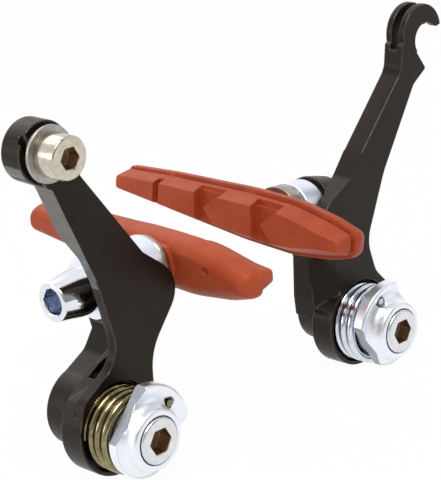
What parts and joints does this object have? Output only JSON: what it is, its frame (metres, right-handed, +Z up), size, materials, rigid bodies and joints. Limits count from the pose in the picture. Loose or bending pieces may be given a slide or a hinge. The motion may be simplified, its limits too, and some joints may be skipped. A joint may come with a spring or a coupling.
{
  "type": "cantilever rim brake",
  "caption": "Cantilever rim brake: sprung black arms on pivot sleeves carry long red rubber pads on tilting posts, with a cable anchor and a forked cable hook.",
  "frame": {"origin": "midway between the two pivot axes, on the plane where the sleeves meet the shoulders of the frame studs", "axes": "+X from the left arm to the right arm, +Y back into the bicycle along both pivot axes, +Z up"},
  "size_m": [0.1269, 0.0685, 0.0797],
  "materials": {
    "anodised_arm": "black anodised, satin, machined edges",
    "sleeve_steel": "blackened steel",
    "gold_spring": "yellow zinc plated wire",
    "silver_spring": "silver zinc plated wire",
    "adjuster_alloy": "turned and polished, satin wrench flats",
    "zinc_bolt": "bright zinc plated socket screw",
    "pad_rubber": "moulded brick red rubber compound",
    "post_steel": "zinc plated threaded post",
    "washer_alloy": "satin turned aluminium",
    "dome_steel": "zinc plated domed washer",
    "chrome_nut": "mirror chrome plating"
  },
  "bodies": {
    "pivots": {"left_pivot_sleeve": "sleeve_steel", "left_adjuster": "adjuster_alloy", "left_pivot_bolt": "zinc_bolt", "left_spring": "gold_spring", "right_pivot_sleeve": "sleeve_steel", "right_adjuster": "adjuster_alloy", "right_pivot_bolt": "zinc_bolt", "right_spring": "silver_spring"},
    "left_side": {"left_arm": "anodised_arm", "left_pad": "pad_rubber", "left_pad_post": "post_steel", "left_inner_cup": "washer_alloy", "left_inner_dome": "dome_steel", "left_outer_cup": "washer_alloy", "left_outer_dome": "dome_steel", "left_pad_spacer": "dome_steel", "left_cone_nut": "chrome_nut", "cable_bolt": "zinc_bolt", "cable_washer": "washer_alloy"},
    "right_side": {"right_arm": "anodised_arm", "right_pad": "pad_rubber", "right_pad_post": "post_steel", "right_inner_cup": "washer_alloy", "right_inner_dome": "dome_steel", "right_outer_cup": "washer_alloy", "right_outer_dome": "dome_steel", "right_pad_spacer": "dome_steel", "right_cone_nut": "chrome_nut"}
  },
  "joints": [
    {"name": "left_pivot", "type": "hinge", "parent": "pivots", "child": "left_side", "pos_m": [-0.038, 0, 0], "axis": [0, 1, 0], "range_deg": [-30, 8], "stiffness_Nm_per_rad": 0.6, "deforming": ["left_spring"]},
    {"name": "right_pivot", "type": "hinge", "parent": "pivots", "child": "right_side", "pos_m": [0.038, 0, 0], "axis": [0, 1, 0], "range_deg": [-18, 20], "stiffness_Nm_per_rad": 0.6, "deforming": ["right_spring"]}
  ]
}
